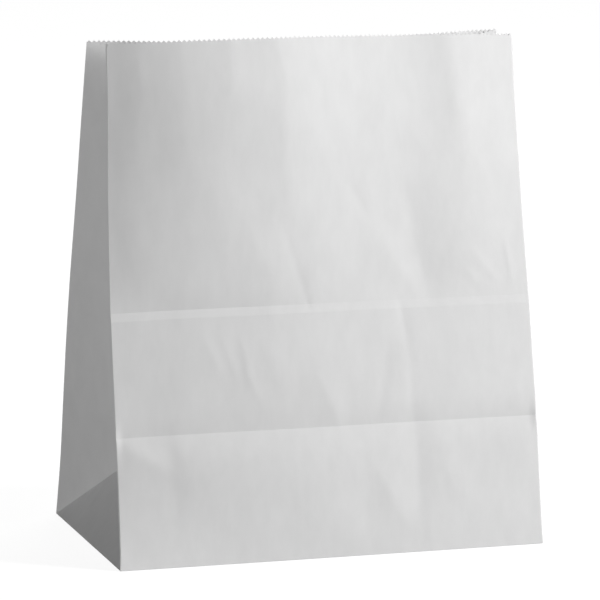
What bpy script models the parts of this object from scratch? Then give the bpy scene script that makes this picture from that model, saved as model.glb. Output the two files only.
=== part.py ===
# Open paper bag with a flat bottom, folded side gussets and a serrated mouth.
# One sheet of paper: the walls, the gussets and the bottom are one closed thin solid.
# Metres, +Z up, origin at the centre of the bottom. The front panel faces -Y.

import math

import bmesh
import bpy
from mathutils import Vector

# Driving sizes in metres
PANEL_WIDTH = 0.3048
GUSSET_WIDTH = 0.1778
TUBE_LENGTH = 0.3556
PAPER = 0.00025
FLAP_STEP = 0.0003
FLAP_EDGE = 0.0008
FLAP_LAP = 0.012
TOOTH_PITCH = 0.0035
TOOTH_HEIGHT = 0.0014
IMPRINT_SETBACK = 0.0045
IMPRINT_HEIGHT = 0.0057
IMPRINT_STEP = 0.0009
VALLEY_DEPTH = 0.0016
VALLEY_REACH = 0.029

# How the bag stands open, in metres: the gap between front and back at each end of the mouth,
# how far the middle of that gap lies behind the middle of the bottom, and how far the panels
# stand out or in. A skew below 1 moves the top of the front's bulge to the left of its middle, and
# a narrowing above 1 keeps it away from the corner folds.
MOUTH_GAP = {"left": 0.046, "right": 0.031}
MOUTH_SHIFT = {"left": -0.011, "right": 0.005}
FRONT_BULGE = 0.017
BULGE_SKEW = 0.62
BULGE_NARROWING = 1.5
BACK_HOLLOW = 0.013
BOTTOM_BOW = 0.0024

# Share of the lean that each end of the front panel has made at its lower and upper crease
LEAN_AT_LOWER_CREASE = {"left": 0.43, "right": 0.24}
LEAN_AT_UPPER_CREASE = {"left": 0.76, "right": 0.51}
BACK_LEAN_CURVE = 1.25

# Mesh divisions
PANEL_COLUMNS = 11
GUSSET_COLUMNS = 2
ROWS_BELOW_CREASE = 3
ROWS_BETWEEN_CREASES = 3
ROWS_ABOVE_CREASE = 6
SETTLING_ROUNDS = 12

PAPER_COLOUR = (0.86, 0.86, 0.86, 1.0)
PAPER_ROUGHNESS = 0.75


def clear_scene():
    for old in list(bpy.data.objects):
        bpy.data.objects.remove(old, do_unlink=True)


def paper_material():
    material = bpy.data.materials.new("white paper")
    material.use_nodes = True
    shader = material.node_tree.nodes["Principled BSDF"]
    shader.inputs["Base Color"].default_value = PAPER_COLOUR
    shader.inputs["Roughness"].default_value = PAPER_ROUGHNESS
    shader.inputs["Metallic"].default_value = 0.0
    material.diffuse_color = PAPER_COLOUR
    return material


def blend(low, high, share):
    return low + (high - low) * share


def paper_rows():
    """Lengths along the paper from the bottom fold to the roots of the teeth.

    The creases fall on rows: the lower one at half the gusset's width, where the bottom folds
    away, and the upper one a little below the whole width, where the edge of the folded bottom
    has left its imprint."""
    lower = GUSSET_WIDTH / 2
    imprint_top = GUSSET_WIDTH - IMPRINT_SETBACK
    imprint_low = imprint_top - IMPRINT_HEIGHT
    roots = TUBE_LENGTH - TOOTH_HEIGHT
    rows = [lower * i / ROWS_BELOW_CREASE for i in range(ROWS_BELOW_CREASE)]
    rows += [blend(lower, imprint_low, i / ROWS_BETWEEN_CREASES) for i in range(ROWS_BETWEEN_CREASES)]
    rows.append(imprint_low)
    rows += [blend(imprint_top, roots, i / ROWS_ABOVE_CREASE) for i in range(ROWS_ABOVE_CREASE + 1)]
    return rows


def front_edge(length, side):
    """Depth of the front panel's edge: three straight leans that meet at the two creases."""
    start = -GUSSET_WIDTH / 2
    lean = MOUTH_SHIFT[side] - MOUTH_GAP[side] / 2 - start
    stops = [0.0, GUSSET_WIDTH / 2, GUSSET_WIDTH - IMPRINT_SETBACK, TUBE_LENGTH]
    shares = [0.0, LEAN_AT_LOWER_CREASE[side], LEAN_AT_UPPER_CREASE[side], 1.0]
    for i in range(3):
        if length <= stops[i + 1]:
            part = (length - stops[i]) / (stops[i + 1] - stops[i])
            return start + lean * blend(shares[i], shares[i + 1], part)
    return start + lean


def back_edge(length, side):
    """Depth of the back panel's edge: upright at the bottom and leaning more towards the mouth."""
    start = GUSSET_WIDTH / 2
    lean = MOUTH_SHIFT[side] + MOUTH_GAP[side] / 2 - start
    return start + lean * (length / TUBE_LENGTH) ** BACK_LEAN_CURVE


def crown(share):
    return 4 * share * (1 - share)


def edge_fade(share):
    """Full over the panel, falling to nothing at its two corner folds, which hold it straight."""
    return crown(share) ** 0.25


def front_depth(share, length):
    """Depth of the front panel: bowed in at the bottom fold, bulged out towards the mouth, drawn
    in along the lower crease, and set out below the imprint of the folded bottom."""
    crease = GUSSET_WIDTH / 2
    straight = blend(front_edge(length, "left"), front_edge(length, "right"), share)
    profile = blend(crown(share), crown(share ** BULGE_SKEW) ** BULGE_NARROWING, length / TUBE_LENGTH)
    bulge = blend(-BOTTOM_BOW, FRONT_BULGE, length / TUBE_LENGTH)
    valley = VALLEY_DEPTH * max(0.0, 1 - abs(length - crease) / VALLEY_REACH)
    below = (GUSSET_WIDTH - IMPRINT_SETBACK - length) / IMPRINT_HEIGHT
    step = IMPRINT_STEP * min(max(below, 0.0), 1.0) * min(length / crease, 1.0)
    return straight - bulge * profile + (valley - step) * edge_fade(share)


def back_depth(share, length):
    """Depth of the back panel: bowed in a little at the bottom fold and more at the mouth."""
    straight = blend(back_edge(length, "left"), back_edge(length, "right"), share)
    hollow = blend(BOTTOM_BOW, BACK_HOLLOW, (length / TUBE_LENGTH) ** 2)
    return straight - hollow * crown(share)


def panel_points(depth, rows):
    """Grid of points of a panel. Paper keeps its length, so a step along it that moves in depth
    rises, or runs across, by what is left of that step."""
    step_across = PANEL_WIDTH / PANEL_COLUMNS
    heights = [0.0] * (PANEL_COLUMNS + 1)
    grid = []
    for i, length in enumerate(rows):
        depths = [depth(j / PANEL_COLUMNS, length) for j in range(PANEL_COLUMNS + 1)]
        across = [0.0]
        for j in range(PANEL_COLUMNS):
            across.append(across[-1] + math.sqrt(step_across ** 2 - (depths[j + 1] - depths[j]) ** 2))
        if i > 0:
            rise = length - rows[i - 1]
            for j in range(PANEL_COLUMNS + 1):
                heights[j] += math.sqrt(rise ** 2 - (depths[j] - grid[-1][j].y) ** 2)
        middle = across[-1] / 2
        grid.append([Vector((across[j] - middle, depths[j], heights[j]))
                     for j in range(PANEL_COLUMNS + 1)])
    return grid


def gusset_crease(front, back, rows, inward):
    """The gusset's inner crease, from the tip of the bottom triangle up to the mouth.

    Each point lies half a gusset's width from the panel edges at its own row, and a row's
    length above the point below it. The tip is where both conditions meet the bottom corners."""
    half = GUSSET_WIDTH / 2
    first = rows.index(half)
    gap = (back[first] - front[first]).y / 2
    rise = front[first].z
    tip_height = (gap ** 2 + rise ** 2) / (2 * rise)
    tip_reach = math.sqrt(half ** 2 - tip_height ** 2)
    middle = (front[first] + back[first]) / 2
    points = [Vector((middle.x + inward * tip_reach, middle.y / 2, tip_height))]
    for i in range(first + 1, len(rows)):
        below = points[-1]
        middle = (front[i] + back[i]) / 2
        gap = (back[i] - front[i]).y / 2
        climb = middle.z - below.z
        for _ in range(SETTLING_ROUNDS):
            drop = middle.z - below.z - climb
            reach = math.sqrt(half ** 2 - gap ** 2 - drop ** 2)
            moved = Vector((middle.x + inward * reach - below.x, middle.y - below.y))
            climb = math.sqrt((rows[i] - rows[i - 1]) ** 2 - moved.length_squared)
        points.append(Vector((middle.x + inward * reach, middle.y, below.z + climb)))
    return points


class Sheet:
    """Collects the sheet's points and faces, and joins points that coincide."""

    def __init__(self):
        self.mesh = bmesh.new()
        self.known = {}

    def point(self, place):
        key = tuple(round(value * 1e7) for value in place)
        if key not in self.known:
            self.known[key] = self.mesh.verts.new(place)
        return self.known[key]

    def face(self, places):
        corners = []
        for place in places:
            corner = self.point(place)
            if corner not in corners:
                corners.append(corner)
        if len(corners) > 2:
            return self.mesh.faces.new(corners)
        return None

    def strip(self, low, high):
        """Faces between two rows of the same count, running left to right seen from outside."""
        for i in range(len(low) - 1):
            self.face([low[i], low[i + 1], high[i + 1], high[i]])


def divide(start, end, count):
    return [start] + [start.lerp(end, i / count) for i in range(1, count)] + [end]


def add_mouth(sheet, low, high, per_cell):
    """The row under the mouth: each cell fans out to the roots of its teeth, and each pair of
    roots carries one tooth, which stands a tooth's height further along the paper."""
    for i in range(len(low) - 1):
        roots = divide(high[i], high[i + 1], per_cell)
        halfway = per_cell // 2
        for k in range(per_cell):
            sheet.face([low[i] if k < halfway else low[i + 1], roots[k + 1], roots[k]])
            share = (k + 0.5) / per_cell
            along = roots[0].lerp(roots[-1], share) - low[i].lerp(low[i + 1], share)
            tip = (roots[k] + roots[k + 1]) / 2 + along.normalized() * TOOTH_HEIGHT
            sheet.face([roots[k], roots[k + 1], tip])
        sheet.face([low[i], low[i + 1], roots[halfway]])


def teeth_per_cell(width, columns):
    return max(1, round(width / columns / TOOTH_PITCH))


def add_walls(sheet, rows_of_points, per_cell):
    for low, high in zip(rows_of_points[:-2], rows_of_points[1:-1]):
        sheet.strip(low, high)
    add_mouth(sheet, rows_of_points[-2], rows_of_points[-1], per_cell)


def add_gusset(sheet, front, back, rows, inward):
    """A side gusset: two halves that fold inward along the crease, and the triangle at the bottom."""
    first = rows.index(GUSSET_WIDTH / 2)
    crease = gusset_crease(front, back, rows, inward)
    per_cell = teeth_per_cell(GUSSET_WIDTH / 2, GUSSET_COLUMNS)
    slants = {}
    for name, edge, runs_outward in (("front", front, inward < 0), ("back", back, inward > 0)):
        slants[name] = divide(edge[0], crease[0], first)
        inner = slants[name] + crease[1:]
        half = [divide(edge[i], inner[i], GUSSET_COLUMNS) for i in range(len(rows))]
        add_walls(sheet, half if runs_outward else [row[::-1] for row in half], per_cell)
    low, high = slants["front"], slants["back"]
    for i in range(first):
        corners = [low[i], high[i], high[i + 1], low[i + 1]]
        sheet.face(corners if inward < 0 else corners[::-1])


def add_bottom(sheet, front_row, back_row):
    """The bottom: a triangle of gusset paper at each end and two pasted flaps between them. The
    flaps stand a step lower than the triangles, with a fine groove along their joint."""
    left_tip = Vector((front_row[0].x + GUSSET_WIDTH / 2, 0.0, 0.0))
    right_tip = Vector((front_row[-1].x - GUSSET_WIDTH / 2, 0.0, 0.0))
    left_lap = left_tip + Vector((FLAP_LAP, FLAP_LAP, 0.0))
    right_lap = right_tip + Vector((-FLAP_LAP, FLAP_LAP, 0.0))
    front_flap = sheet.face(front_row[::-1] + [left_tip, left_lap, right_lap, right_tip])
    back_flap = sheet.face(back_row + [right_tip, right_lap, left_lap, left_tip])
    sheet.face([front_row[0], back_row[0], left_tip])
    sheet.face([back_row[-1], front_row[-1], right_tip])
    sheet.mesh.normal_update()
    bmesh.ops.inset_individual(
        sheet.mesh, faces=[front_flap, back_flap], thickness=FLAP_EDGE, depth=FLAP_STEP,
        use_even_offset=True)


def make_bag():
    rows = paper_rows()
    front = panel_points(front_depth, rows)
    back = panel_points(back_depth, rows)
    panel_teeth = teeth_per_cell(PANEL_WIDTH, PANEL_COLUMNS)
    sheet = Sheet()
    add_walls(sheet, front, panel_teeth)
    add_walls(sheet, [row[::-1] for row in back], panel_teeth)
    add_gusset(sheet, [row[0] for row in front], [row[0] for row in back], rows, 1)
    add_gusset(sheet, [row[-1] for row in front], [row[-1] for row in back], rows, -1)
    add_bottom(sheet, front[0], back[0])
    for corner in sheet.mesh.verts:
        corner.co.z += FLAP_STEP
    mesh = bpy.data.meshes.new("bag")
    sheet.mesh.to_mesh(mesh)
    sheet.mesh.free()
    bag = bpy.data.objects.new("bag", mesh)
    bpy.context.scene.collection.objects.link(bag)
    bag.data.materials.append(paper_material())
    wall = bag.modifiers.new("paper thickness", "SOLIDIFY")
    wall.thickness = PAPER
    wall.offset = -1.0
    return bag


clear_scene()
make_bag()
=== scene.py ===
import math

import bpy
import numpy as np
from mathutils import Matrix


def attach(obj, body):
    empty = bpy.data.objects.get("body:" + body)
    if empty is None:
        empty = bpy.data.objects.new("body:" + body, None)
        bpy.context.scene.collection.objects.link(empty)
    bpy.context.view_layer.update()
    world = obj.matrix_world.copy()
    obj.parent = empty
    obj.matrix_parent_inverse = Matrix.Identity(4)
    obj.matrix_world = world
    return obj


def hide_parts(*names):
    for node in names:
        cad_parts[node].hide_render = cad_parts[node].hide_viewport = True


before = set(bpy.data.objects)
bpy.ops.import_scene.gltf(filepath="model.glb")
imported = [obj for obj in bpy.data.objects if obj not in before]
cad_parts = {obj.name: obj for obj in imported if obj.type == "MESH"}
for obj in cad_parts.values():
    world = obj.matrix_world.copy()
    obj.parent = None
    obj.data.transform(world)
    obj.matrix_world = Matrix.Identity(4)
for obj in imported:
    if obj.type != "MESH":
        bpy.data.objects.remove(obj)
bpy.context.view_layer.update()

# The bag's paper, in metres. A place on a panel is a share across it, 0 at its left edge and 1 at its
# right, and a length along the paper, from 0 at the bottom fold to the roots of the teeth.
paper = {
    "panelWidth": 0.3048,
    "gussetWidth": 0.1778,
    "tubeLength": 0.3556,
    "sheet": 0.0002,
    "toothHeight": 0.0015,
    "bandTop": 0.1733,         # where the folded bottom has left its imprint
    "bandHeight": 0.0057,
    "flapStep": 0.0003,        # the pasted flaps lie this much below the ends of the gussets
    "flapEdge": 0.0008,
    "flapLap": 0.012,
    "mitreLeast": 0.3,         # keeps the corners of the flaps' edges from shooting out
}
# Mesh divisions: rows are shared by all the walls, columns are each wall's own
grid = {
    "frontColumns": 176,
    "backColumns": 44,
    "gussetColumns": 13,
    "triangleColumns": 24,
    "rowsBelowCrease": 38,
    "rowsToBand": 36,
    "rowsInBand": 3,
    "rowsAbove": 83,
    "creaseRounds": 30,        # how often the gusset's crease is worked out anew
}
# How the bag stands open: the depth of each corner fold, and its sideways shift, at these lengths
stance = {
    "lengths": (0.0, 0.040, 0.0889, 0.131, 0.1778, 0.245, 0.300, 0.3556),
    "frontLeft": (-0.0889, -0.0745, -0.0630, -0.0545, -0.0472, -0.0400, -0.0365, -0.0340),
    "frontRight": (-0.0889, -0.0800, -0.0702, -0.0590, -0.0480, -0.0310, -0.0185, -0.0100),
    "backLeft": (0.0889, 0.0835, 0.0745, 0.0672, 0.0560, 0.0380, 0.0250, 0.0120),
    "backRight": (0.0889, 0.0860, 0.0790, 0.0710, 0.0610, 0.0450, 0.0330, 0.0200),
    "shiftLeft": (-0.0018, 0.0005, 0.0012, 0.0012, 0.0010, 0.0006, 0.0003, -0.0003),
    "shiftRight": (-0.0013, -0.0009, -0.0008, -0.0004, -0.0003, 0.0002, 0.0006, -0.0006),
    "backShiftLeft": (0.0001, 0.0015, 0.0012, 0.0011, 0.0006, 0.0001, -0.0002, -0.0004),
}
front = {
    "bulgeShares": (0, 0.04, 0.10, 0.18, 0.30, 0.45, 0.60, 0.75, 0.88, 1.0),
    "bulgeProfile": (0, 0.17, 0.40, 0.70, 0.95, 1.0, 0.67, 0.38, 0.21, 0),
    "bulgeLengths": (0, 0.030, 0.060, 0.0889, 0.130, 0.1733, 0.210, 0.260, 0.310, 0.3556),
    "bulge": (0.0004, 0.0048, 0.0062, 0.0037, 0.0058, 0.0057, 0.0076, 0.0109, 0.0144, 0.0128),
    "shoulderShares": (0, 0.08, 0.20, 0.35, 0.50, 0.70, 0.85, 1.0),   # a swelling just above the imprint
    "shoulderProfile": (0, 0.73, 1.0, 0.68, 0, -0.30, 0, 0),
    "shoulder": 0.0038,
    "shoulderReach": 0.019,
    "valleyDepth": 0.0018,
    "valleyReach": 0.018,
    "bandStep": (0.0010, 0.0006),          # at the left and at the right
    "rimLift": (0.0009, 0.0022, 0.0029),   # the mouth's cut, at the left, the middle and the right
    "fadeShare": 0.03,                     # buckles and waves die out this near to a corner fold,
    "footFade": 0.012,                     # and this near to the bottom fold
    "valleyFade": 0.015,                   # the valley gets down to half its depth this near to one
    "valleyKept": 0.5,
    "roundWidth": 0.0005,                  # corner folds are no knife edges: a strip stands out this far,
    "roundPart": 0.3,                      # starts this part of it inside the panel, and turns
    "roundDepth": (0.0006, 0.0002),        # back this far, at the left and at the right
    "waves": {"seed": 4, "height": 0.00010},
}
back = {
    "hollow": 0.013,
    "crownPower": 1.5,
    "bottomBow": 0.0024,
    "rimLift": (0.0009, 0.0010, 0.0016),
    "seamColumns": (16, 18),   # the glued seam lies between these columns of the back's grid
    "seamStep": 0.00025,
    "seamEdge": 0.0003,
    "fadeShare": 0.06,
    "footFade": 0.020,
    "waves": {"seed": 9, "height": 0.00028},
}
gusset = {
    "bow": 0.0035,             # the halves bow towards each other between their folds, most at mid height
    "waves": {"front": {"seed": 26, "height": 0.0002}, "back": {"seed": 25, "height": 0.0002}},
    "waveWidth": 88,           # how far the waves run across a half, in millimetres
    "waveStart": 6,            # they are whole from a sixth of the way up
    "mouthTurn": 0.26,         # slope by which the left one's back half faces the front at the mouth
    "mouthReach": 0.010,
}
halfGusset = paper["gussetWidth"] / 2
rootLength = paper["tubeLength"] - paper["toothHeight"]
millimetre = 0.001
hair = 1e-6                    # less than this counts as nothing


# Lengths of the mesh's rows: even steps in each of the four stretches between creases and mouth
def paperRows():
    stops = [0.0, halfGusset, paper["bandTop"] - paper["bandHeight"], paper["bandTop"], rootLength]
    counts = [grid["rowsBelowCrease"], grid["rowsToBand"], grid["rowsInBand"], grid["rowsAbove"]]
    parts = [np.linspace(a, b, n, endpoint=False) for a, b, n in zip(stops, stops[1:], counts)]
    return np.concatenate(parts + [[rootLength]])


# A cubic through given points, which meets the next at the mean of their two slopes. In a stretch it is
# the sum of both ends' values and slopes, each times its own cubic of the share s that is run.
def smoothCurve(x, y, at):
    x = np.array(x)
    y = np.array(y)
    h = np.diff(x)
    slope = np.diff(y) / h
    m = np.concatenate([slope[:1], (slope[:-1] + slope[1:]) / 2, slope[-1:]])
    i = np.clip(np.searchsorted(x, at, side="right") - 1, 0, len(x) - 2)
    s = (at - x[i]) / h[i]
    return ((1 + 2 * s) * (1 - s) ** 2 * y[i] + s * (1 - s) ** 2 * h[i] * m[i]
            + s * s * (3 - 2 * s) * y[i + 1] + s * s * (s - 1) * h[i] * m[i + 1])


# One of the corner folds' measures at each length, by the same cubic
def throughStance(name, along):
    return smoothCurve(stance["lengths"], stance[name], along)


# Depth of the front panel: straight between its corner folds, less two swellings, each a curve over the
# width times one up the paper. The second starts at the imprint and levels off by an exponential.
def frontDepth(share, along):
    left = throughStance("frontLeft", along)
    right = throughStance("frontRight", along)
    over = smoothCurve(front["bulgeShares"], front["bulgeProfile"], share)
    bulge = smoothCurve(front["bulgeLengths"], front["bulge"], along)
    above = np.maximum(along - paper["bandTop"], 0) / front["shoulderReach"]
    shoulder = smoothCurve(front["shoulderShares"], front["shoulderProfile"], share) * front["shoulder"]
    return left + (right - left) * share - over * bulge - shoulder * (1 - np.exp(-above))


# Depth of the back panel: straight between its corner folds, less a hollow. That goes from the bottom's
# depth to the mouth's as the square of the length, and follows a power of the parabola over the width.
def backDepth(share, along):
    left = throughStance("backLeft", along)
    right = throughStance("backRight", along)
    crown = (4 * share * (1 - share)) ** back["crownPower"]
    rise = (along / paper["tubeLength"]) ** 2
    hollow = back["bottomBow"] * (1 - rise) + back["hollow"] * rise
    return left + (right - left) * share - crown * hollow


# Places of a panel's grid. Paper keeps its length, so a step that moves in depth runs across, or rises,
# by the square root of what is left of its square. Each row is centred and then follows the sideways
# shifts of its two folds. The mouth's cut lifts the rows by their share of the length.
def layOut(depth, share, along, rimLift, leftShift):
    runs = np.sqrt((np.diff(share)[None, :] * paper["panelWidth"]) ** 2 - np.diff(depth, axis=1) ** 2)
    x = np.concatenate([np.zeros((len(along), 1)), np.cumsum(runs, axis=1)], axis=1)
    rises = np.sqrt(np.diff(along)[:, None] ** 2 - np.diff(depth, axis=0) ** 2)
    z = np.concatenate([np.zeros((1, len(share))), np.cumsum(rises, axis=0)], axis=0)
    left = throughStance(leftShift, along)[:, None]
    right = throughStance("shiftRight", along)[:, None]
    x = x - x[:, -1:] / 2 + left + (right - left) * share[None, :]
    lift = np.interp(share, (0, 0.5, 1), rimLift)[None, :] * along[:, None] / paper["tubeLength"]
    return np.stack([x, depth, z + lift + paper["flapStep"]], axis=-1)


# Rises from 0 to 1 as t does, level at both ends: three times its square less twice its cube
def smoothStep(t):
    t = np.clip(t, 0, 1)
    return t * t * (3 - 2 * t)


# How sharply a buckle runs out towards its ends, and the part of its reach that is left there
buckleEnds = {
    "power": 1.3,
    "reachLeft": 0.5,
}
# Buckles of the front panel, in millimetres. Start and end are places on the paper, across from the
# middle and up from the bottom fold. Rise is how far the line stands out, or in where it is below 0.
# Reach is how far the paper slopes off to its left and right, round how blunt the line itself is, and
# peak the share of its length at which the buckle is strongest.
buckles = [
    {"start": (-66, 396), "end": (-67, 304), "rise": 0.48, "reach": (22, 24), "round": 1.5},
    {"start": (-48, 400), "end": (-20, 306), "rise": 0.46, "reach": (16, 28), "round": 1.2},
    {"start": (-30, 340), "end": (-26, 226), "rise": 0.40, "reach": (14, 24), "round": 4.0},
    {"start": (-131, 350), "end": (-129, 320), "rise": 0.12, "reach": (5, 5), "round": 0.8},
    {"start": (-32, 236), "end": (-12, 170), "rise": -0.34, "reach": (10, 9), "round": 1.5, "peak": 0.7},
    {"start": (-14, 180), "end": (-11, 166), "rise": -0.20, "reach": (4, 3), "round": 0.5},
    {"start": (-104, 300), "end": (-62, 210), "rise": 0.22, "reach": (14, 16), "round": 5.0},
    {"start": (-76, 268), "end": (-32, 180), "rise": 0.24, "reach": (12, 14), "round": 4.0},
    {"start": (16, 262), "end": (38, 226), "rise": -0.22, "reach": (9, 7), "round": 1.0},
    {"start": (57, 290), "end": (79, 164), "rise": -1.15, "reach": (62, 42), "round": 2.0, "peak": 0.72},
    {"start": (26, 236), "end": (76, 168), "rise": 0.40, "reach": (26, 15), "round": 4.0, "peak": 0.6},
    {"start": (96, 400), "end": (114, 244), "rise": 0.72, "reach": (22, 24), "round": 5.0, "peak": 0.6},
    {"start": (137, 216), "end": (142, 176), "rise": 0.22, "reach": (3, 3), "round": 0.6},
    {"start": (110, 207), "end": (132, 181), "rise": 0.20, "reach": (7, 6), "round": 1.2},
    {"start": (101, 196), "end": (122, 178), "rise": 0.16, "reach": (6, 5), "round": 1.2},
    {"start": (55, 176), "end": (62, 122), "rise": -0.32, "reach": (8, 9), "round": 0.8, "peak": 0.25},
    {"start": (61, 140), "end": (61, 88), "rise": -0.16, "reach": (7, 7), "round": 1.5},
    {"start": (-94, 162), "end": (-72, 120), "rise": 0.18, "reach": (8, 8), "round": 2.0},
    {"start": (-78, 160), "end": (-64, 118), "rise": 0.18, "reach": (6, 7), "round": 1.5},
    {"start": (-63, 160), "end": (-57, 120), "rise": 0.20, "reach": (6, 6), "round": 1.0},
    {"start": (-62, 134), "end": (-46, 100), "rise": 0.18, "reach": (7, 7), "round": 1.5},
    {"start": (-43, 156), "end": (-34, 106), "rise": 0.26, "reach": (10, 20), "round": 2.5},
    {"start": (47, 148), "end": (34, 88), "rise": -0.28, "reach": (14, 9), "round": 1.5, "peak": 0.6},
    {"start": (-10, 132), "end": (10, 80), "rise": 0.42, "reach": (15, 13), "round": 2.5, "peak": 0.6},
    {"start": (-158, 90), "end": (-106, 58), "rise": 0.50, "reach": (13, 11), "round": 2.5},
    {"start": (-119, 104), "end": (-111, 12), "rise": -0.40, "reach": (22, 12), "round": 3.0},
    {"start": (62, 106), "end": (63, 6), "rise": -0.55, "reach": (22, 14), "round": 1.5, "peak": 0.4},
    {"start": (72, 100), "end": (94, 26), "rise": 0.34, "reach": (14, 18), "round": 3.0},
    {"start": (22, 76), "end": (60, 4), "rise": 0.46, "reach": (18, 15), "round": 3.5, "peak": 0.6},
    {"start": (96, 83), "end": (122, 84), "rise": -0.14, "reach": (3, 3), "round": 0.6},
]


# Height of the buckles at each place. Across a line it is the square of what is left of the reach, and
# along it a power of the parabola that is 0 at both ends. The reach draws in with that.
def buckleHeight(x, z):
    total = np.zeros_like(x)
    for one in buckles:
        ax, az = one["start"]
        bx, bz = one["end"]
        length = math.hypot(bx - ax, bz - az)
        dx, dz = (bx - ax) / length, (bz - az) / length
        nx, nz = (-dz, dx) if dz < 0 else (dz, -dx)
        s = ((x - ax) * dx + (z - az) * dz) / length
        s = np.interp(s, (0, one.get("peak", 0.5), 1), (0, 0.5, 1))
        bow = (4 * s * (1 - s)) ** buckleEnds["power"]
        d = (x - ax) * nx + (z - az) * nz
        drawn = buckleEnds["reachLeft"] + (1 - buckleEnds["reachLeft"]) * bow
        reach = np.where(d < 0, one["reach"][0], one["reach"][1]) * drawn
        near = np.clip(1 - (np.hypot(d, one["round"]) - one["round"]) / reach, 0, 1)
        total += one["rise"] * bow * near ** 2
    return total


# Slow waves in the sheet, with lengths in millimetres, mostly running down to the right
cockles = {
    "count": 26,
    "shortest": 22,
    "longest": 75,
    "lean": 28,
    "leanSpread": 32,
}


# The sum of sines of several lengths, directions and phases, the longer the higher, over the root of
# half their count
def cockle(x, z, waves):
    rng = np.random.default_rng(waves["seed"])
    total = np.zeros_like(x)
    for _ in range(cockles["count"]):
        wave = rng.uniform(cockles["shortest"], cockles["longest"])
        turn = rng.normal(math.radians(cockles["lean"]), math.radians(cockles["leanSpread"]))
        phase = rng.uniform(0, 2 * math.pi)
        run = x * math.cos(turn) + z * math.sin(turn)
        total += wave / cockles["longest"] * np.sin(2 * math.pi * run / wave + phase)
    return waves["height"] * total / math.sqrt(cockles["count"] / 2)


# What the front panel has besides its broad form. The valley at the lower crease is the square of what
# is left of its reach. Below the imprint of the folded bottom the paper stands out by a step, which
# comes in evenly over the band's height and dies out evenly below the lower crease. The rounded corner
# folds lie back, and the buckles and waves fade towards the folds.
def frontRelief(share, along):
    x = (share - 0.5) * paper["panelWidth"] / millimetre
    z = along / millimetre
    near = np.clip(1 - np.abs(along - halfGusset) / front["valleyReach"], 0, 1)
    below = np.clip((paper["bandTop"] - along) / paper["bandHeight"], 0, 1)
    step = np.interp(share, (0, 1), front["bandStep"]) * below * np.clip(along / halfGusset, 0, 1)
    edge = np.minimum(share, 1 - share)
    fade = smoothStep(edge / front["fadeShare"]) * np.clip(along / front["footFade"], 0, 1)
    relief = buckleHeight(x, z) * millimetre + cockle(x, z, front["waves"])
    kept = front["valleyKept"] + (1 - front["valleyKept"]) * smoothStep(edge / front["valleyFade"])
    turned = np.where(share < 0.5, *front["roundDepth"]) * (edge == 0)
    turned *= smoothStep(along / front["footFade"])
    return front["valleyDepth"] * near ** 2 * kept + turned - step - fade * relief


# Shares of the front's columns: even ones between the narrow strips of its rounded corner folds
def frontShares():
    strip = front["roundPart"] * front["roundWidth"] / paper["panelWidth"]
    even = np.linspace(strip, 1 - strip, grid["frontColumns"] - 1)
    return np.concatenate([[0], even, [1]])


# Shares of the back's columns: even ones, and one more just left of the glued seam for its step
def backShares():
    even = np.linspace(0, 1, grid["backColumns"] + 1)
    foot = even[back["seamColumns"][0]] - back["seamEdge"] / paper["panelWidth"]
    return np.sort(np.append(even, foot))


# The back has its glued seam, which rises by a step at its free edge and falls back to nothing over
# its width, and a few slow waves
def backRelief(share, along):
    x = (share - 0.5) * paper["panelWidth"] / millimetre
    z = along / millimetre
    left, right = [column / grid["backColumns"] for column in back["seamColumns"]]
    seam = back["seamStep"] * np.clip((right - share) / (right - left), 0, 1) * (share > left - hair)
    fade = smoothStep(np.minimum(share, 1 - share) / back["fadeShare"])
    return (seam + fade * cockle(x, z, back["waves"])) * np.clip(along / back["footFade"], 0, 1)


# The gusset's inner crease. Each place lies half a gusset from both panel edges at its own row and one
# row's length above the place below it. It reaches in by the root of half a gusset's square less those
# of the half gap and the drop, and climbs by the root of a row's square less that of its move sideways.
# The two hang on each other, so they are worked out in turn. It starts at the tip of the bottom
# triangle, where half a gusset also reaches both bottom corners.
def gussetCrease(frontEdge, backEdge, along, inward):
    first = grid["rowsBelowCrease"]
    middle = (frontEdge + backEdge)[first:] / 2
    gap = (backEdge - frontEdge)[first:, 1] / 2
    rise = middle[0, 2] - paper["flapStep"]
    tipHeight = (gap[0] ** 2 + rise ** 2) / (2 * rise)
    tipReach = math.sqrt(halfGusset ** 2 - tipHeight ** 2)
    tip = [middle[0, 0] + inward * tipReach, middle[0, 1] / 2, tipHeight + paper["flapStep"]]
    climb = np.diff(middle[:, 2])
    for _ in range(grid["creaseRounds"]):
        height = tip[2] + np.concatenate([[0], np.cumsum(climb)])
        reach = np.sqrt(halfGusset ** 2 - gap ** 2 - (middle[:, 2] - height) ** 2)
        crease = np.stack([middle[:, 0] + inward * reach, middle[:, 1], height], axis=-1)
        crease[0] = tip
        sideways = np.linalg.norm(np.diff(crease[:, :2], axis=0), axis=-1)
        climb = np.sqrt(np.maximum(np.diff(along[first:]) ** 2 - sideways ** 2, hair ** 2))
    return crease


# Collects places, faces of four and of other numbers of corners, and fold lines. A wall's places get
# numbers in the order of its grid.
class Sheet:
    def __init__(self):
        self.places = []
        self.count = 0
        self.quads = []
        self.others = []
        self.folds = []

    def add(self, places):
        flat = places.reshape(-1, 3)
        numbers = np.arange(self.count, self.count + len(flat)).reshape(places.shape[:-1])
        self.places.append(flat)
        self.count += len(flat)
        return numbers

    def strips(self, numbers):
        low, high = numbers[:-1], numbers[1:]
        corners = np.stack([low[:, :-1], low[:, 1:], high[:, 1:], high[:, :-1]], axis=-1)
        self.quads.append(corners.reshape(-1, 4))

    def fold(self, numbers):
        self.folds.append(np.stack([numbers[:-1], numbers[1:]], axis=-1))


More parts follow.
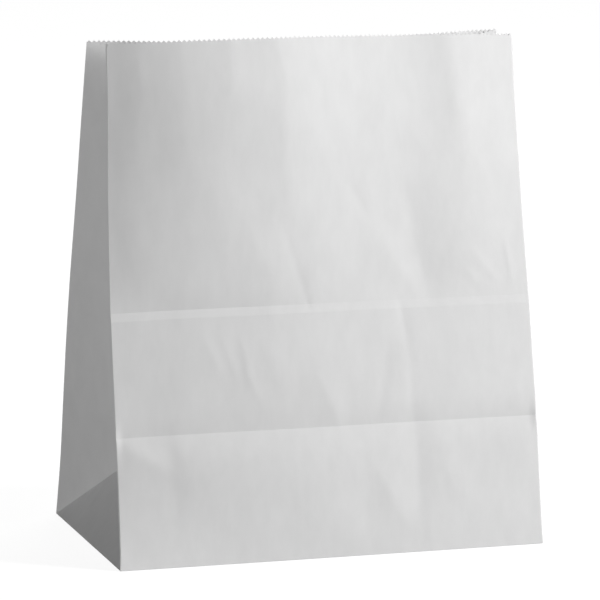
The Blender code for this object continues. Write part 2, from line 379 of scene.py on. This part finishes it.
# Saw teeth on a mouth row, each tip a tooth's height along the paper beyond its roots. On the fine front
# wall a tooth spans two columns and its tip stands over the middle one. Elsewhere each column carries
# two, lower where it is narrow, and its top face gets the point between them.
def addTeeth(sheet, places, numbers, fine):
    up = places[-1] - places[-2]
    up /= np.linalg.norm(up, axis=-1, keepdims=True)
    if fine:
        tips = sheet.add(places[-1, 1::2] + up[1::2] * paper["toothHeight"])
        roots = numbers[-1]
        left = np.stack([roots[:-2:2], roots[1:-1:2], tips], axis=-1)
        right = np.stack([roots[1:-1:2], roots[2::2], tips], axis=-1)
        sheet.strips(numbers)
        sheet.others += np.concatenate([left, right]).tolist()
        return
    a, b = places[-1, :-1], places[-1, 1:]
    width = np.linalg.norm(b - a, axis=-1, keepdims=True)
    mean = (up[:-1] + up[1:]) / 2 * paper["toothHeight"] * np.clip(width / np.median(width), 0, 1)
    middles = sheet.add((a + b) / 2)
    quarter = (b - a) / 4
    firstTips = sheet.add(a + quarter + mean)
    lastTips = sheet.add(b - quarter + mean)
    low, roots = numbers[-2], numbers[-1]
    sheet.strips(numbers[:-1])
    sheet.others += np.stack([low[:-1], low[1:], roots[1:], middles, roots[:-1]], axis=-1).tolist()
    sheet.others += np.stack([roots[:-1], middles, firstTips], axis=-1).tolist()
    sheet.others += np.stack([middles, roots[1:], lastTips], axis=-1).tolist()


# Evenly divided lines between two rows of places: a share of the one and the rest of the other
def between(low, high, columns):
    share = np.linspace(0, 1, columns + 1)[None, :, None]
    return low[:, None, :] * (1 - share) + high[:, None, :] * share


# Half a gusset as even lines from panel edge to crease, bowed out level with the ground by half a sine
# across, times half a sine up the paper plus slow waves. At the mouth the left one's back half also
# turns by a slope that dies out across it and, by an exponential, below.
def gussetHalf(edge, inner, along, name, inward):
    half = between(edge, inner, grid["gussetColumns"])
    flat = np.cross(inner - edge, np.array([0.0, 0.0, 1.0]))
    flat /= np.maximum(np.linalg.norm(flat, axis=-1, keepdims=True), hair)
    flat *= np.sign(flat[:, 1:2]) * (1 if name == "back" else -1)
    share = np.linspace(0, 1, grid["gussetColumns"] + 1)
    level = np.clip((along - halfGusset) / (rootLength - halfGusset), 0, 1)
    across, up = np.meshgrid(share * gusset["waveWidth"], along / millimetre)
    waves = cockle(across, up, gusset["waves"][name]) * smoothStep(level * gusset["waveStart"])[:, None]
    bow = np.sin(share * math.pi) * (waves - gusset["bow"] * np.sin(level * math.pi)[:, None])
    half = half + flat[:, None, :] * bow[..., None]
    if name == "back" and inward > 0:
        turn = gusset["mouthTurn"] * np.exp((along - rootLength) / gusset["mouthReach"])
        half[..., 1] += turn[:, None] * halfGusset * share * (1 - share) ** 2
    return half


# One side gusset: two halves, and the bottom triangle as even lines between the two slanted folds
def addGusset(sheet, frontEdge, backEdge, along, inward):
    first = grid["rowsBelowCrease"]
    crease = gussetCrease(frontEdge, backEdge, along, inward)
    climb = (np.arange(first) / first)[:, None]
    slants = {}
    for name, edge, outward in (("front", frontEdge, inward < 0), ("back", backEdge, inward > 0)):
        slants[name] = edge[0] + (crease[0] - edge[0]) * climb
        inner = np.concatenate([slants[name], crease])
        half = gussetHalf(edge, inner, along, name, inward)
        places = half if outward else half[:, ::-1]
        numbers = sheet.add(places)
        addTeeth(sheet, places, numbers, False)
        sheet.fold(numbers[:, 0])
        sheet.fold(numbers[:, -1])
        if name == "front":
            sheet.fold(numbers[first])
    low = np.concatenate([slants["front"], crease[:1]])
    high = np.concatenate([slants["back"], crease[:1]])
    triangle = between(low, high, grid["triangleColumns"])
    numbers = sheet.add(triangle if inward < 0 else triangle[:, ::-1])
    sheet.strips(numbers)
    sheet.fold(numbers[0])
    return numbers[0]


# Inner outline of a polygon in the plane: each corner moves along the sum of its two sides' inward
# directions, over one plus their product
def insetOutline(places, width):
    ahead = np.roll(places, -1, axis=0) - places
    ahead[:, 2] = 0
    ahead /= np.linalg.norm(ahead, axis=-1, keepdims=True)
    inwards = np.stack([ahead[:, 1], -ahead[:, 0], ahead[:, 2]], axis=-1)
    before = np.roll(inwards, 1, axis=0)
    share = 1 + np.sum(inwards * before, axis=-1, keepdims=True)
    return places + (inwards + before) / np.maximum(share, paper["mitreLeast"]) * width


# The bottom: the ends of the gussets, and two pasted flaps a step lower. The flaps meet in a line from
# tip to tip, each half a gusset in from its end, which lies back by the lap in between.
def addBottom(sheet, frontRow, backRow, endRows, corners):
    leftTip = corners[0] + np.array([halfGusset, halfGusset, 0.0])
    rightTip = corners[1] + np.array([-halfGusset, halfGusset, 0.0])
    leftTip[1] = rightTip[1] = 0.0
    lap = paper["flapLap"]
    leftLap = leftTip + np.array([lap, lap, 0.0])
    rightLap = rightTip + np.array([-lap, lap, 0.0])
    inner = sheet.add(np.array([leftTip, leftLap, rightLap, rightTip]))
    allPlaces = np.concatenate(sheet.places)
    for ring in (np.concatenate([frontRow[::-1], inner]), np.concatenate([backRow, inner[::-1]])):
        inset = insetOutline(allPlaces[ring], paper["flapEdge"])
        inset[:, 2] = 0.0
        numbers = sheet.add(inset)
        sheet.quads.append(np.stack([ring, np.roll(ring, -1), np.roll(numbers, -1), numbers], axis=-1))
        sheet.others.append(numbers.tolist())
        sheet.fold(np.append(ring, ring[0]))
        sheet.fold(np.append(numbers, numbers[0]))
    leftEnd, rightEnd = endRows
    sheet.others.append(list(leftEnd[::-1]) + [int(inner[0])])
    sheet.others.append(list(rightEnd[::-1]) + [int(inner[3])])


# Joins places that agree to a thousandth of a millimetre, drops what a face loses by it, and makes the
# mesh. An edge is sharp where it lies on a fold or has only one face.
def sheetMesh(sheet, name):
    places = np.concatenate(sheet.places)
    rounded = np.round(places * 1e6).astype(np.int64)
    _, kept, renumbered = np.unique(rounded, axis=0, return_index=True, return_inverse=True)
    renumbered = renumbered.reshape(-1)
    quads = renumbered[np.concatenate(sheet.quads)]
    whole = np.all(quads != np.roll(quads, 1, axis=1), axis=1)
    faces = quads[whole].tolist()
    loose = quads[~whole].tolist() + [renumbered[face].tolist() for face in sheet.others]
    for face in loose:
        left = [v for v, n in zip(face, face[1:] + face[:1]) if v != n]
        if len(set(left)) > 2:
            faces.append(left)
    shape = bpy.data.meshes.new(name)
    shape.from_pydata(places[kept].tolist(), [], faces)
    shape.update()
    shape.shade_smooth()
    size = len(kept)
    folds = np.sort(renumbered[np.concatenate(sheet.folds)], axis=1)
    wanted = np.unique(folds[:, 0].astype(np.int64) * size + folds[:, 1])
    edges = np.empty(len(shape.edges) * 2, dtype=np.int32)
    shape.edges.foreach_get("vertices", edges)
    edges = np.sort(edges.reshape(-1, 2), axis=1).astype(np.int64)
    sharp = np.isin(edges[:, 0] * size + edges[:, 1], wanted)
    loops = np.empty(len(shape.loops), dtype=np.int32)
    shape.loops.foreach_get("edge_index", loops)
    sharp |= np.bincount(loops, minlength=len(edges)) < 2
    mark = shape.attributes.new("sharp_edge", "BOOLEAN", "EDGE")
    mark.data.foreach_set("value", sharp)
    return shape


# A panel's grid: its broad form laid out, with its relief added in depth
def panelPlaces(depth, relief, share, along, rimLift, leftShift):
    across, up = np.meshgrid(share, along)
    places = layOut(depth(across, up), share, along, rimLift, leftShift)
    places[..., 1] += relief(across, up)
    return places


# The whole bag: front, back, gussets and bottom in one mesh, which Solidify gives its thickness. The
# front's outermost columns stand out by the width of its rounded corner folds.
def makeBag():
    along = paperRows()
    sheet = Sheet()
    frontPlaces = panelPlaces(frontDepth, frontRelief, frontShares(), along, front["rimLift"],
                              "shiftLeft")
    frontPlaces[:, 0, 0] -= front["roundWidth"]
    frontPlaces[:, -1, 0] += front["roundWidth"]
    frontNumbers = sheet.add(frontPlaces)
    addTeeth(sheet, frontPlaces, frontNumbers, True)
    backPlaces = panelPlaces(backDepth, backRelief, backShares(), along, back["rimLift"],
                             "backShiftLeft")
    turned = backPlaces[:, ::-1]
    backNumbers = sheet.add(turned)
    addTeeth(sheet, turned, backNumbers, False)
    ends = [addGusset(sheet, frontPlaces[:, side], backPlaces[:, side], along, inward)
            for side, inward in ((0, 1), (-1, -1))]
    for column in (0, 1, -2, -1):
        sheet.fold(frontNumbers[:, column])
    for column in (0, -1):
        sheet.fold(backNumbers[:, column])
    lowBand = grid["rowsBelowCrease"] + grid["rowsToBand"]
    for row in (0, grid["rowsBelowCrease"], lowBand, lowBand + grid["rowsInBand"]):
        sheet.fold(frontNumbers[row])
    sheet.fold(backNumbers[0])
    corners = (frontPlaces[0, 0], frontPlaces[0, -1])
    addBottom(sheet, frontNumbers[0], backNumbers[0][::-1], ends, corners)
    shape = sheetMesh(sheet, "paperBag")
    bag = bpy.data.objects.new("paperBag", shape)
    bpy.context.scene.collection.objects.link(bag)
    wall = bag.modifiers.new("sheet thickness", "SOLIDIFY")
    wall.thickness = paper["sheet"]
    wall.offset = -1.0
    wall.use_rim = True
    return bag


# A node with its settings, and its inputs where the node has no setting of that name
def addNode(tree, kind, **values):
    node = tree.nodes.new(kind)
    for name, value in values.items():
        if hasattr(node, name):
            setattr(node, name, value)
        else:
            node.inputs[name.replace("_", " ")].default_value = value
    return node


finish = {
    "colour": (0.86, 0.86, 0.86, 1.0),
    "thin": (0.825, 0.825, 0.825, 1.0),
    "roughness": 0.72,
    "specular": 0.28,
    "sheen": 0.06,
    "fibreScale": 900.0,
    "fibreDetail": 3.0,
    "fibreRoughness": 0.65,
    "cloudScale": 110.0,
    "cloudDetail": 5.0,
    "cloudRoughness": 0.6,
    "cloudEnds": (0.3, 0.7),   # the noise runs from thin to full colour between these values
    "grain": 0.35,             # pulp and fibres are drawn out along the paper by this
    "fibreHeight": 0.00003,
    "fibreStrength": 0.5,
}


# Bleached kraft: clouds of denser and thinner pulp, fibres drawn out along the paper, a fine tooth
def paperMaterial():
    material = bpy.data.materials.new("white bleached kraft")
    material.use_nodes = True
    tree = material.node_tree
    shader = tree.nodes["Principled BSDF"]
    shader.inputs["Roughness"].default_value = finish["roughness"]
    shader.inputs["Specular IOR Level"].default_value = finish["specular"]
    shader.inputs["Sheen Weight"].default_value = finish["sheen"]
    coords = addNode(tree, "ShaderNodeTexCoord")
    stretch = addNode(tree, "ShaderNodeMapping")
    stretch.inputs["Scale"].default_value = (1.0, 1.0, finish["grain"])
    tree.links.new(coords.outputs["Object"], stretch.inputs["Vector"])
    noises = []
    for name in ("cloud", "fibre"):
        noise = addNode(tree, "ShaderNodeTexNoise", Scale=finish[name + "Scale"],
                        Detail=finish[name + "Detail"], Roughness=finish[name + "Roughness"])
        tree.links.new(stretch.outputs["Vector"], noise.inputs["Vector"])
        noises.append(noise)
    clouds, fibres = noises
    spread = addNode(tree, "ShaderNodeMapRange")
    spread.inputs["From Min"].default_value = finish["cloudEnds"][0]
    spread.inputs["From Max"].default_value = finish["cloudEnds"][1]
    tree.links.new(clouds.outputs["Fac"], spread.inputs["Value"])
    colour = addNode(tree, "ShaderNodeMix", data_type="RGBA")
    colour.inputs[6].default_value = finish["thin"]
    colour.inputs[7].default_value = finish["colour"]
    tree.links.new(spread.outputs["Result"], colour.inputs["Factor"])
    tree.links.new(colour.outputs[2], shader.inputs["Base Color"])
    height = addNode(tree, "ShaderNodeBump")
    height.inputs["Strength"].default_value = finish["fibreStrength"]
    height.inputs["Distance"].default_value = finish["fibreHeight"]
    tree.links.new(fibres.outputs["Fac"], height.inputs["Height"])
    tree.links.new(height.outputs["Normal"], shader.inputs["Normal"])
    return material


studio = {
    "floorSize": 30.0,
    "floorColour": 0.35,
    "floorSeen": 0.24,         # part of the floor's white that its shadow can take away
    "floorGlow": 0.915,
    "ambient": 0.010,
    "keyPower": 142.0,         # a round soft box to the right of the bag, a little above it
    "keyFrom": (66.0, 24.0),   # degrees right of the bag's front, and above the horizon
    "lampsAway": 3.75,
    "keySize": 0.9,
    "fillStrength": 1.19,      # low light from the left, which alone reaches the gusset
    "fillFrom": (-35.0, 6.0),
    "fillSoftness": 40.0,
    "backStrength": 1.3,       # soft light on the back and the right-hand gusset, which the photo hides
    "backFrom": (152.0, 28.0),
    "backSoftness": 50.0,
    "aimHeight": 0.17,
}


# Unit vector towards a lamp: sine and minus cosine of its angle right of the bag's front, both times
# the cosine of its height, and the height's sine
def lampDirection(right, height):
    a, e = math.radians(right), math.radians(height)
    return np.array([math.sin(a) * math.cos(e), -math.cos(a) * math.cos(e), math.sin(e)])


# A lamp shines along its own -Z, so its Z points back along the direction it comes from
def placeLamp(data, towards, away):
    holder = bpy.data.objects.new(data.name, data)
    z = lampDirection(*towards)
    x = np.cross([0, 0, 1], z)
    x /= np.linalg.norm(x)
    turn = Matrix([list(row) for row in np.stack([x, np.cross(z, x), z], axis=1)]).to_4x4()
    place = z * away + np.array([0, 0, studio["aimHeight"]])
    holder.matrix_world = Matrix.Translation(place.tolist()) @ turn
    bpy.context.scene.collection.objects.link(holder)


# The key is a round area lamp, the fill and the one behind the bag are soft suns
def addLamps():
    key = bpy.data.lights.new("key soft box", "AREA")
    key.shape = "DISK"
    key.size = studio["keySize"]
    key.energy = studio["keyPower"]
    placeLamp(key, studio["keyFrom"], studio["lampsAway"])
    for name in ("fill", "back"):
        lamp = bpy.data.lights.new(name, "SUN")
        lamp.energy = studio[name + "Strength"]
        lamp.angle = math.radians(studio[name + "Softness"])
        placeLamp(lamp, studio[name + "From"], studio["lampsAway"])


# The camera, sharp and straight, at the photograph's viewing angle. Angles are in degrees.
view = {
    "yaw": 18.72,
    "down": 9.70,
    "roll": 0.81,
    "place": (-0.8106, -2.3921, 0.5958),
    "lens": 219.5,
    "sensor": 36.0,
    "farEnd": 200.0,           # nothing farther off than this is drawn
}


# Forward is the bag's depth turned right by the yaw and down by the tilt. The level right and the
# upright are then turned by the roll: cosine of the one plus or minus sine of the other.
def addCamera():
    yaw, down, roll = [math.radians(view[k]) for k in ("yaw", "down", "roll")]
    ahead = math.cos(down)
    forward = np.array([math.sin(yaw) * ahead, math.cos(yaw) * ahead, -math.sin(down)])
    level = np.array([math.cos(yaw), -math.sin(yaw), 0.0])
    upright = np.cross(level, forward)
    right = math.cos(roll) * level + math.sin(roll) * upright
    up = -math.sin(roll) * level + math.cos(roll) * upright
    data = bpy.data.cameras.new("camera")
    data.lens = view["lens"]
    data.sensor_width = view["sensor"]
    data.clip_end = view["farEnd"]
    camera = bpy.data.objects.new("camera", data)
    turn = Matrix([list(row) for row in np.stack([right, up, -forward], axis=1)]).to_4x4()
    camera.matrix_world = Matrix.Translation(view["place"]) @ turn
    bpy.context.scene.collection.objects.link(camera)
    bpy.context.scene.camera = camera


# White wherever the camera or a glossy ray looks past the bag, and a plain grey level for the rest
def addWorld():
    world = bpy.data.worlds.new("studio")
    bpy.context.scene.world = world
    world.use_nodes = True
    tree = world.node_tree
    base = tree.nodes["Background"]
    base.inputs["Color"].default_value = (1, 1, 1, 1)
    base.inputs["Strength"].default_value = studio["ambient"]
    seen = addNode(tree, "ShaderNodeBackground")
    seen.inputs["Color"].default_value = (1, 1, 1, 1)
    seen.inputs["Strength"].default_value = 1.0
    mix = addNode(tree, "ShaderNodeMixShader")
    tree.links.new(seenRays(tree), mix.inputs["Fac"])
    tree.links.new(base.outputs["Background"], mix.inputs[1])
    tree.links.new(seen.outputs["Background"], mix.inputs[2])
    tree.links.new(mix.outputs["Shader"], tree.nodes["World Output"].inputs["Surface"])


# One for camera, glossy and transmission rays
def seenRays(tree):
    path = addNode(tree, "ShaderNodeLightPath")
    first = addNode(tree, "ShaderNodeMath", operation="MAXIMUM")
    tree.links.new(path.outputs["Is Camera Ray"], first.inputs[0])
    tree.links.new(path.outputs["Is Glossy Ray"], first.inputs[1])
    both = addNode(tree, "ShaderNodeMath", operation="MAXIMUM")
    tree.links.new(first.outputs["Value"], both.inputs[0])
    tree.links.new(path.outputs["Is Transmission Ray"], both.inputs[1])
    return both.outputs["Value"]


# A square floor: plain grey for the light it throws back, and a soft shadow on white where it is seen
def addFloor():
    half = studio["floorSize"] / 2
    shape = bpy.data.meshes.new("floor")
    corners = [(-half, -half, 0), (half, -half, 0), (half, half, 0), (-half, half, 0)]
    shape.from_pydata(corners, [], [(0, 1, 2, 3)])
    floor = bpy.data.objects.new("floor", shape)
    bpy.context.scene.collection.objects.link(floor)
    material = bpy.data.materials.new("pale floor")
    material.use_nodes = True
    tree = material.node_tree
    tree.nodes.remove(tree.nodes["Principled BSDF"])
    plain = addNode(tree, "ShaderNodeBsdfDiffuse")
    plain.inputs["Color"].default_value = [studio["floorColour"]] * 3 + [1]
    lit = addNode(tree, "ShaderNodeBsdfDiffuse")
    lit.inputs["Color"].default_value = [studio["floorSeen"]] * 3 + [1]
    glow = addNode(tree, "ShaderNodeEmission")
    glow.inputs["Strength"].default_value = studio["floorGlow"]
    both = addNode(tree, "ShaderNodeAddShader")
    tree.links.new(lit.outputs["BSDF"], both.inputs[0])
    tree.links.new(glow.outputs["Emission"], both.inputs[1])
    mix = addNode(tree, "ShaderNodeMixShader")
    tree.links.new(seenRays(tree), mix.inputs["Fac"])
    tree.links.new(plain.outputs["BSDF"], mix.inputs[1])
    tree.links.new(both.outputs["Shader"], mix.inputs[2])
    tree.links.new(mix.outputs["Shader"], tree.nodes["Material Output"].inputs["Surface"])
    floor.data.materials.append(material)


addCamera()
addWorld()
addFloor()
addLamps()
print("camera, floor and lamps placed")

bag = makeBag()
bag.data.materials.append(paperMaterial())
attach(bag, "root")
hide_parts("bag")
points, faces = len(bag.data.vertices), len(bag.data.polygons)
print("bag made:", points, "points,", faces, "faces before its thickness")

bpy.context.scene.view_settings.view_transform = "Standard"
